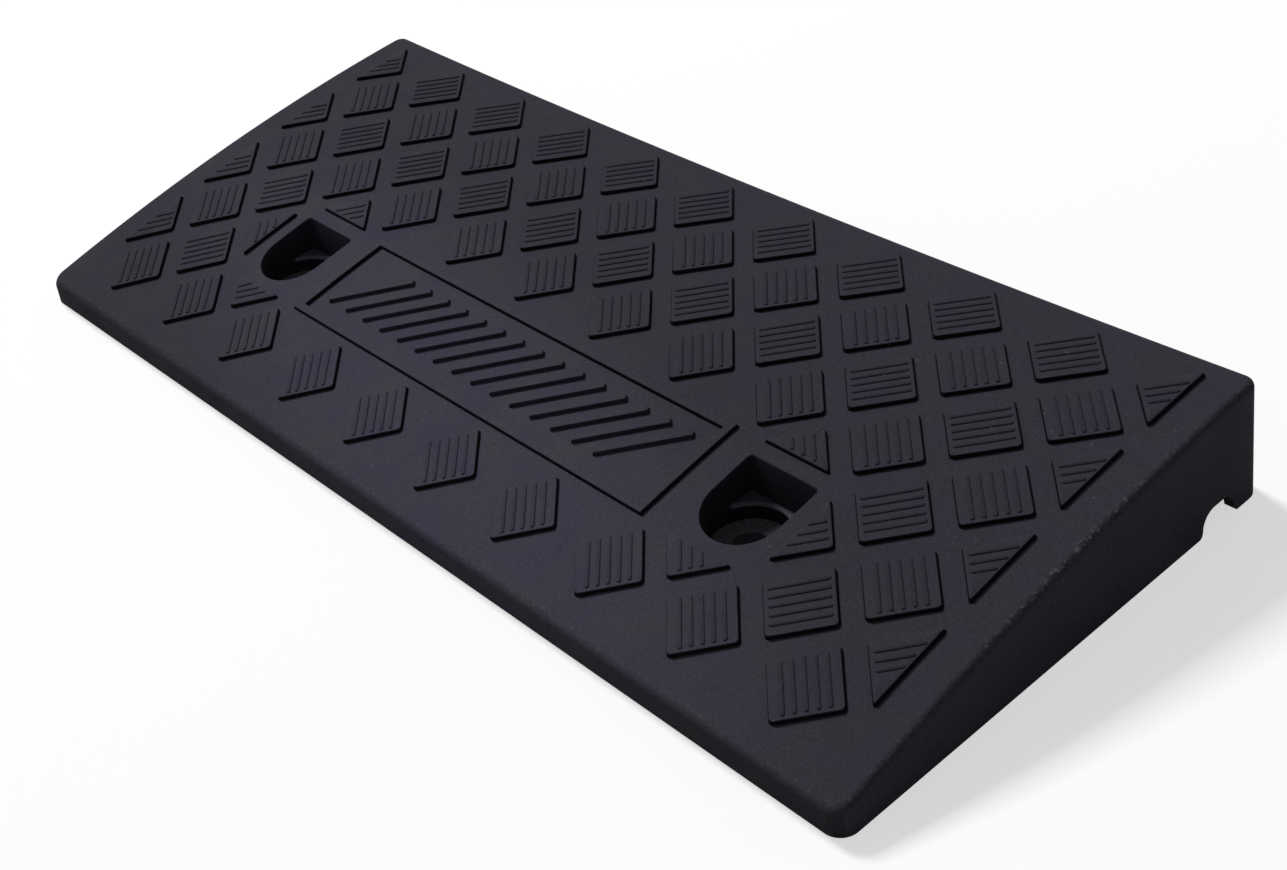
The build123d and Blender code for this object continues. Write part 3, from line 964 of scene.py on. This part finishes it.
def pad_ribs(tread, kept, lean, trim):
    """Ends of the middle lines of a pad's ribs, which run up the slope to the right or to the left."""
    way = Vector((lean, 1)).normalized()
    across = Vector((way.y, -way.x))
    half = tread.rib_width / 2
    square = inset_corners(pad_corners(tread, "whole", trim), tread.rib_margin)
    part = inset_corners(pad_corners(tread, kept, trim), tread.cut_margin)
    ribs = []
    for k in range(tread.ribs):
        middle = across * ((k - (tread.ribs - 1) / 2) * tread.rib_pitch)
        edges = [middle + across * side for side in (-half, half)]
        spans = [inside_span(room, edge, way) for room in (square, part) for edge in edges]
        low = max(span[0] for span in spans) + half
        high = min(span[1] for span in spans) - half
        if high - low > tread.least_rib:
            ribs.append((middle + way * low, middle + way * high))
    return ribs


def round_ended(start, end, radius, steps=5):
    """Outline round a line, counter-clockwise, with a half circle at each end."""
    way = end - start
    first = atan2(way.y, way.x) - pi / 2
    return arc(end.x, end.y, radius, first, pi, steps) + arc(start.x, start.y, radius, first + pi, pi, steps)


def side_steps(tread):
    """Steps up the side of a raised shape: how far in from its outline, and how high above the deck."""
    top, bevel, draft = tread.relief, tread.bevel, tread.draft
    # The bevel has a middle step that makes it round.
    bulge = 0.3 * bevel
    flank = [(0, -tread.root), (0, 0), (draft, top - bevel)]
    return flank + [(draft + bulge, top - bulge), (draft + bevel, top)]


def pad_mesh(name, tread, kept, lean, trim):
    """One pad with softened upper edges and low, steep ribs."""
    corners = pad_corners(tread, kept, trim)
    built = bmesh.new()

    def loop(points, z):
        return [built.verts.new((x, y, z)) for x, y in points]

    def wall(low, high):
        for k in range(len(low)):
            after = (k + 1) % len(low)
            built.faces.new((low[k], low[after], high[after], high[k]))

    def sides(vertices):
        return [built.edges.get((a, b)) for a, b in zip(vertices, vertices[1:] + vertices[:1])]

    # A half pad's first corner is square, and its two others are sharp.
    radii = [tread.corner] * 4 if kept == "whole" else [tread.corner, tread.tip, tread.tip]
    loops = []
    for amount, z in side_steps(tread):
        outline = rounded(inset_corners(corners, amount), [radius - amount / 2 for radius in radii])
        loops.append(loop(outline, z))
    for low, high in zip(loops, loops[1:]):
        wall(low, high)
    built.faces.new(reversed(loops[0]))
    edges = sides(loops[-1])
    # A rib's section has steep sides: shares of its half width and of its height, from its foot to its top.
    section = ((1, 0), (0.88, 0.6), (0.6, 0.9), (0.25, 1))
    for start, end in pad_ribs(tread, kept, lean, trim):
        rib = []
        for across, rise in section:
            outline = round_ended(start, end, across * tread.rib_width / 2)
            rib.append(loop(outline, tread.relief + rise * tread.rib_height))
        for low, high in zip(rib, rib[1:]):
            wall(low, high)
        built.faces.new(rib[-1])
        edges += sides(rib[0])
    bmesh.ops.triangle_fill(built, use_beauty=True, edges=edges, normal=(0, 0, 1))
    bmesh.ops.recalc_face_normals(built, faces=built.faces)
    mesh = bpy.data.meshes.new(name)
    built.to_mesh(mesh)
    built.free()
    mark_sides(mesh, tread, [v.co.z for v in mesh.vertices])
    return mesh


def kept_part(tread, row, column):
    """Part of a pad that stands at a row and column counted from the frame's middle."""
    side = "right" if column > 0 else "left"
    if abs(row) <= 1:
        beyond = abs(column) - tread.pocket_column - (1 if row == 0 else 0)
        if beyond < 0:
            return None
        if beyond == 0:
            return {1: "up", 0: side, -1: "down"}[row]
    if abs(column) == tread.last_column:
        return "left" if column > 0 else "right"
    return "whole"


def pad_tree(values):
    """Tree that sets a pad on each point, of the kind and with the tilt that the point holds."""
    tree = new_tree("Tread pads", values)
    given = add_node(tree, "NodeGroupInput").outputs
    kind = add_node(tree, "GeometryNodeInputNamedAttribute", {"Name": "kind"}, data_type="INT")
    tilt = add_node(tree, "GeometryNodeInputNamedAttribute", {"Name": "tilt"}, data_type="FLOAT")
    turn = add_node(tree, "ShaderNodeCombineXYZ", {0: tilt})
    pads = add_node(
        tree,
        "GeometryNodeCollectionInfo",
        {"Collection": given["Pads"], "Separate Children": True, "Reset Children": True},
    )
    choice = {"Instance": pads, "Pick Instance": True, "Instance Index": kind}
    placed = add_node(
        tree, "GeometryNodeInstanceOnPoints", {"Points": given["Geometry"], "Rotation": turn, **choice}
    )
    return end_tree(tree, placed, given["Material"])


class KERBRAMP_OT_tread_pads(bpy.types.Operator):
    """Build the ribbed tread pads in staggered rows on the deck"""

    bl_idname = "kerb_ramp.tread_pads"
    bl_label = "Tread pads"

    def execute(self, context):
        settings = context.scene.kerb_ramp
        moulding, tread = settings.moulding, settings.tread
        deck = Deck(moulding)
        shelf = bpy.data.collections.new("pads")
        kinds, points, tilts, picks = {}, [], [], []
        for row in range(tread.first_row, tread.last_row + 1):
            run = settings.frame.setback + row * tread.row_pitch
            for column in range(-tread.last_column, tread.last_column + 1):
                kept = kept_part(tread, row, column)
                if (row + column) % 2 == 0 or kept is None:
                    continue
                points.append(deck.point(column * tread.row_pitch, run, 0))
                tilts.append(deck.slope(run))
                # The ribs turn from row to row, and round the right pocket they mirror those round the left.
                mirrored = column > 0 and kept in ("up", "right", "down")
                lean = 1 if (row % 2 == 1) != mirrored else -1
                # The end walls lean in, so the half pads at the ends are cut shorter from row to row.
                trim = tread.trim
                if abs(column) == tread.last_column:
                    wall = deck.half_length - deck.lean * (points[-1][2] - deck.rim)
                    trim = abs(column) * tread.row_pitch + tread.end_margin - wall
                kind = (kept, lean, trim)
                if kind not in kinds:
                    name = f"pad_{len(kinds):02d}"
                    kinds[kind] = len(kinds)
                    shelf.objects.link(bpy.data.objects.new(name, pad_mesh(name, tread, *kind)))
                picks.append(kinds[kind])
        places = bpy.data.meshes.new("pad_places")
        places.from_pydata(points, [], [])
        store(places, "tilt", "POINT", tilts)
        store(places, "kind", "POINT", picks, "INT")
        values = {"Pads": shelf, "Material": moulded_polypropylene(moulding)}
        mesh = grown_mesh(places, pad_tree(values), values)
        remove(*shelf.objects)
        bpy.data.collections.remove(shelf)
        for name in ("tilt", "kind"):
            mesh.attributes.remove(mesh.attributes[name])
        let_sag(mesh, deck, moulding)
        finish_piece("tread_pads", mesh, moulding, PAD_CREASE)
        return {"FINISHED"}


class KERBRAMP_OT_raised_frame(bpy.types.Operator):
    """Build the raised frame between the pockets"""

    bl_idname = "kerb_ramp.raised_frame"
    bl_label = "Raised frame"

    def execute(self, context):
        settings = context.scene.kerb_ramp
        moulding, tread, sizes = settings.moulding, settings.tread, settings.frame
        deck = Deck(moulding)
        half_x, half_run = (sizes.length - sizes.band) / 2, (sizes.width - sizes.band) / 2
        corners = [(-1, -1), (1, -1), (1, 1), (-1, 1)]
        outward = [(0, -1), (1, 0), (0, 1), (-1, 0)]
        # The path runs along the middle of the band, with the way that each point's section faces.
        path = []
        for side, (here, after) in enumerate(zip(corners, corners[1:] + corners[:1])):
            steps = FRAME_STEPS[side % 2]
            for k in range(steps):
                x, run = (a + (b - a) * k / steps for a, b in zip(here, after))
                path.append((x * half_x, run * half_run, here if k == 0 else outward[side]))
        outer = [(sizes.band / 2 - inset, lift) for inset, lift in side_steps(tread)]
        section = outer + [(-out, lift) for out, lift in reversed(outer)]
        points, faces = [], []
        count = len(section)
        for n, (x, run, way) in enumerate(path):
            start, after = n * count, (n + 1) % len(path) * count
            for k, (out, lift) in enumerate(section):
                points.append(deck.point(x + out * way[0], sizes.setback + run + out * way[1], lift))
                m = (k + 1) % count
                faces.append((start + k, after + k, after + m, start + m))
        mesh = new_mesh("raised_frame", points, faces)
        reaches = [hypot(v.co.y - deck.axis_y, v.co.z - deck.axis_z) for v in mesh.vertices]
        mark_sides(mesh, tread, [reach - deck.radius for reach in reaches])
        let_sag(mesh, deck, moulding)
        finish_piece("raised_frame", mesh, moulding)
        return {"FINISHED"}


def bar_tree(values):
    """Tree that sets a row of bars in the frame."""
    tree = new_tree("Frame bars", values)
    given = add_node(tree, "NodeGroupInput").outputs
    step = add_node(tree, "ShaderNodeCombineXYZ", {0: given["Pitch"]})
    line = {"Count": given["Count"], "Start Location": given["Place"], "Offset": step}
    row = add_node(tree, "GeometryNodeMeshLine", line, mode="OFFSET")
    bar = add_node(tree, "GeometryNodeObjectInfo", {"Object": given["Bar"]}).outputs["Geometry"]
    placed = add_node(
        tree, "GeometryNodeInstanceOnPoints", {"Points": row, "Instance": bar, "Rotation": given["Tilt"]}
    )
    return end_tree(tree, placed, given["Material"])


class KERBRAMP_OT_frame_bars(bpy.types.Operator):
    """Build the row of slanted bars inside the raised frame"""

    bl_idname = "kerb_ramp.frame_bars"
    bl_label = "Frame bars"

    def execute(self, context):
        settings = context.scene.kerb_ramp
        moulding, tread, sizes = settings.moulding, settings.tread, settings.frame
        deck = Deck(moulding)
        half, reach = sizes.bar_width / 2, sizes.bar_length / 2
        lean = Matrix.Rotation(-sizes.bar_slant, 2)
        upright = ((half, -reach), (half, reach), (-half, reach), (-half, -reach))
        corners = [tuple(lean @ Vector(c)) for c in upright]
        rings = []
        for amount, z in side_steps(tread):
            outline = rounded(inset_corners(corners, amount), [sizes.bar_corner - amount] * 4)
            rings.append([(x, y, z) for x, y in outline])
        mesh = stacked_mesh("bar", [rings])
        mark_sides(mesh, tread, [v.co.z for v in mesh.vertices], sizes.bar_shade)
        bar = new_object("bar", mesh)
        first = -(sizes.bar_count - 1) / 2 * sizes.bar_pitch
        values = {
            "Bar": bar,
            "Count": sizes.bar_count,
            "Pitch": sizes.bar_pitch,
            "Place": deck.point(first, sizes.setback, 0),
            "Tilt": (deck.slope(sizes.setback), 0.0, 0.0),
            "Material": moulded_polypropylene(moulding),
        }
        bars = grown_mesh(bpy.data.meshes.new("bar_places"), bar_tree(values), values)
        remove(bar)
        let_sag(bars, deck, moulding)
        finish_piece("frame_bars", bars, moulding)
        return {"FINISHED"}


def dress(nodes, material):
    """Give CAD nodes a material."""
    for node in nodes:
        obj = frame["nodes"][node]
        obj.data.materials.clear()
        obj.data.materials.append(material)


class KERBRAMP_OT_bushes(bpy.types.Operator):
    """Finish the bolt bushes in coated steel"""

    bl_idname = "kerb_ramp.bushes"
    bl_label = "Bolt bushes"

    def execute(self, context):
        dress(BUSHES, coated_steel())
        return {"FINISHED"}


class KERBRAMP_OT_feet(bpy.types.Operator):
    """Finish the feet in pressed rubber"""

    bl_idname = "kerb_ramp.feet"
    bl_label = "Rubber feet"

    def execute(self, context):
        dress(FEET, foot_rubber())
        return {"FINISHED"}


def shown_rays(tree):
    """Socket that is 1 for what the camera sees, straight or in a reflection or through glass."""
    path = add_node(tree, "ShaderNodeLightPath").outputs
    indirect = {0: path["Is Glossy Ray"], 1: path["Is Transmission Ray"]}
    sharp = add_node(tree, "ShaderNodeMath", indirect, operation="MAXIMUM")
    shown = {0: path["Is Camera Ray"], 1: sharp}
    return add_node(tree, "ShaderNodeMath", shown, operation="MAXIMUM").outputs[0]


def floor_paint(stage):
    """Matt studio paint: white to the eye, with a light shadow, throwing a soft light back on the ramp."""
    material, tree, shader = new_material("matt_floor_paint")
    shown = shown_rays(tree)
    white = [*stage.floor_colour, 1]
    paints = {0: shown, 6: [*stage.bounce_colour, 1], 7: white}
    tone = add_node(tree, "ShaderNodeMix", paints, data_type="RGBA").outputs[2]
    set_inputs(shader, {"Base Color": tone, "Roughness": 1.0, "Specular IOR Level": 0.0})
    glow = add_node(tree, "ShaderNodeEmission", {"Color": white, "Strength": 1.0})
    share = add_node(tree, "ShaderNodeMath", {0: shown, 1: stage.floor_glow}, operation="MULTIPLY")
    seen = add_node(tree, "ShaderNodeMixShader", {0: share, 1: shader, 2: glow})
    set_inputs(tree.nodes["Material Output"], {"Surface": seen})
    return material


def new_lamp(stage):
    """Main lamp: square and soft, facing the ramp."""
    lamp = bpy.data.lights.new("key_lamp", "AREA")
    lamp.shape = "SQUARE"
    lamp.size = stage.key_size
    lamp.energy = stage.key_power
    obj = bpy.data.objects.new("key_lamp", lamp)
    obj.location = stage.key_place
    obj.rotation_euler = (-Vector(stage.key_place)).to_track_quat("-Z", "Y").to_euler()
    return obj


def new_camera(stage):
    """Camera at the place and with the turns of the stage's settings."""
    data = bpy.data.cameras.new("camera")
    data.sensor_width = SENSOR
    data.lens = stage.lens
    camera = bpy.data.objects.new("camera", data)
    camera.location = stage.camera_place
    turn = Matrix.Rotation(stage.azimuth, 3, "Z") @ Matrix.Rotation(pi / 2 - stage.elevation, 3, "X")
    camera.rotation_euler = (turn @ Matrix.Rotation(stage.roll, 3, "Z")).to_euler()
    return camera


class KERBRAMP_OT_stage(bpy.types.Operator):
    """Build the floor, the light and the camera"""

    bl_idname = "kerb_ramp.stage"
    bl_label = "Stage"

    def execute(self, context):
        scene, stage = context.scene, context.scene.kerb_ramp.stage
        reach = stage.floor_reach
        corners = [(-reach, -reach, 0), (reach, -reach, 0), (reach, reach, 0), (-reach, reach, 0)]
        mesh = new_mesh("floor", corners, [(0, 1, 2, 3)])
        mesh.materials.append(floor_paint(stage))
        new_object("floor", mesh)
        world = bpy.data.worlds.new("studio")
        world.use_nodes = True
        tree = world.node_tree
        levels = {"Value": shown_rays(tree), "To Min": stage.sky_level, "To Max": 1.0}
        strength = add_node(tree, "ShaderNodeMapRange", levels)
        set_inputs(tree.nodes["Background"], {"Color": (1, 1, 1, 1), "Strength": strength})
        scene.world = world
        scene.collection.objects.link(new_lamp(stage))
        scene.camera = new_camera(stage)
        scene.collection.objects.link(scene.camera)
        scene.view_settings.view_transform = "Standard"
        return {"FINISHED"}


class KERBRAMP_PT_sidebar(bpy.types.Panel):
    """Lists the pieces of the kerb ramp and their sizes"""

    bl_idname = "KERBRAMP_PT_sidebar"
    bl_label = "Kerb ramp"
    bl_space_type = "VIEW_3D"
    bl_region_type = "UI"
    bl_category = "Kerb ramp"

    def draw(self, context):
        settings = context.scene.kerb_ramp
        for piece in PIECES:
            self.layout.operator(f"kerb_ramp.{piece}")
        for name in ("moulding", "pocket", "tread", "frame", "stage"):
            group = getattr(settings, name)
            box = self.layout.box()
            box.label(text=name.capitalize())
            for key in group.bl_rna.properties.keys():
                if key not in ("rna_type", "name"):
                    box.prop(group, key)


CLASSES = (
    MouldingSizes,
    PocketSizes,
    TreadSizes,
    FrameSizes,
    StageSettings,
    RampSettings,
    KERBRAMP_OT_moulding,
    KERBRAMP_OT_tread_pads,
    KERBRAMP_OT_raised_frame,
    KERBRAMP_OT_frame_bars,
    KERBRAMP_OT_bushes,
    KERBRAMP_OT_feet,
    KERBRAMP_OT_stage,
    KERBRAMP_PT_sidebar,
)


def register():
    """Register the classes and the scene's settings."""
    for cls in CLASSES:
        bpy.utils.register_class(cls)
    bpy.types.Scene.kerb_ramp = PointerProperty(type=RampSettings)


def unregister():
    """Remove the scene's settings and the classes."""
    del bpy.types.Scene.kerb_ramp
    for cls in reversed(CLASSES):
        bpy.utils.unregister_class(cls)


def main():
    """Build the whole ramp."""
    register()
    for piece in PIECES:
        getattr(bpy.ops.kerb_ramp, piece)()


if __name__ == "__main__":
    main()
